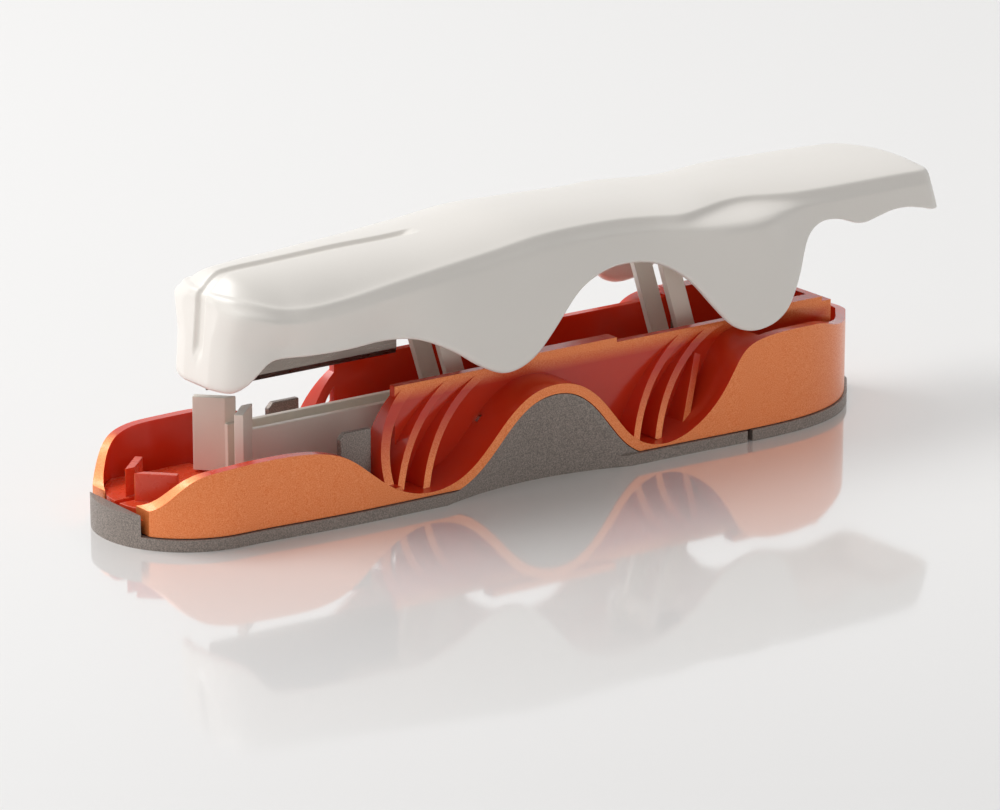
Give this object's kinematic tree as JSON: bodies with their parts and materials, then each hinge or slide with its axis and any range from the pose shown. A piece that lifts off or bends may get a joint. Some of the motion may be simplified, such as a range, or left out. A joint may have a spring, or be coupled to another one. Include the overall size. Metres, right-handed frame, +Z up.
{
  "type": "pill splitter",
  "caption": "Press-down tablet splitter: waved orange body on a graphite base, white lever on parallel swing arms, steel blade, V cradle and sliding V jaw.",
  "frame": {"origin": "centre of the base's underside, on the surface that the tool stands on", "axes": "+X from the nose, where the tablet sits, to the tail; +Z up; Y across the tool"},
  "size_m": [0.1403, 0.0346, 0.037],
  "materials": {
    "graphite": "satin moulded ABS with fine metallic fleck",
    "orange_housing": "pearlescent orange moulded ABS",
    "orange_insert": "glossy red-orange moulded ABS",
    "cream_plastic": "satin cream acetal",
    "white_plastic": "glossy warm white ABS",
    "blade_steel": "ground stainless steel",
    "pin_steel": "turned steel",
    "screw_steel": "zinc-plated steel",
    "spring_steel": "drawn spring wire"
  },
  "bodies": {
    "base": {"base_tray": "graphite", "rear_cover": "graphite", "tray_screws": "screw_steel", "cover_screws": "screw_steel", "body_housing": "orange_housing", "pill_cradle": "orange_insert", "front_lower_pins": "pin_steel", "rear_lower_pins": "pin_steel", "front_return_springs": "spring_steel", "rear_return_springs": "spring_steel"},
    "rear_arm": {"rear_swing_arm": "cream_plastic", "rear_upper_pin": "pin_steel"},
    "front_arm": {"front_swing_arm": "cream_plastic", "front_upper_pin": "pin_steel"},
    "lever": {"lever_cover": "white_plastic", "blade": "blade_steel", "blade_holder": "cream_plastic", "blade_rivets": "blade_steel", "front_pivot_block": "white_plastic", "rear_pivot_block": "white_plastic"},
    "jaw": {"jaw_carriage": "graphite", "jaw_slider": "cream_plastic"}
  },
  "joints": [
    {"name": "lever_press", "type": "hinge", "parent": "base", "child": "rear_arm", "pos_m": [0.0345, 0, 0.008], "axis": [0, -1, 0], "range_deg": [0, 54], "stiffness_Nm_per_rad": 0.02, "springref_deg": -28.65, "deforming": ["rear_return_springs", "front_return_springs"]},
    {"name": "front_arm_swing", "type": "hinge", "parent": "base", "child": "front_arm", "pos_m": [-0.0065, 0, 0.008], "axis": [0, -1, 0], "range_deg": [0, 54]},
    {"name": "lever_pivot", "type": "hinge", "parent": "rear_arm", "child": "lever", "pos_m": [0.02807, 0, 0.02904], "axis": [0, -1, 0], "range_deg": [-54, 0]},
    {"name": "jaw_slide", "type": "slide", "parent": "base", "child": "jaw", "axis": [1, 0, 0], "range_m": [-0.006, 0.0003]}
  ],
  "couplings": [
    {"joint": "front_arm_swing", "follows": "lever_press", "ratio": 1},
    {"joint": "lever_pivot", "follows": "lever_press", "ratio": -1}
  ]
}
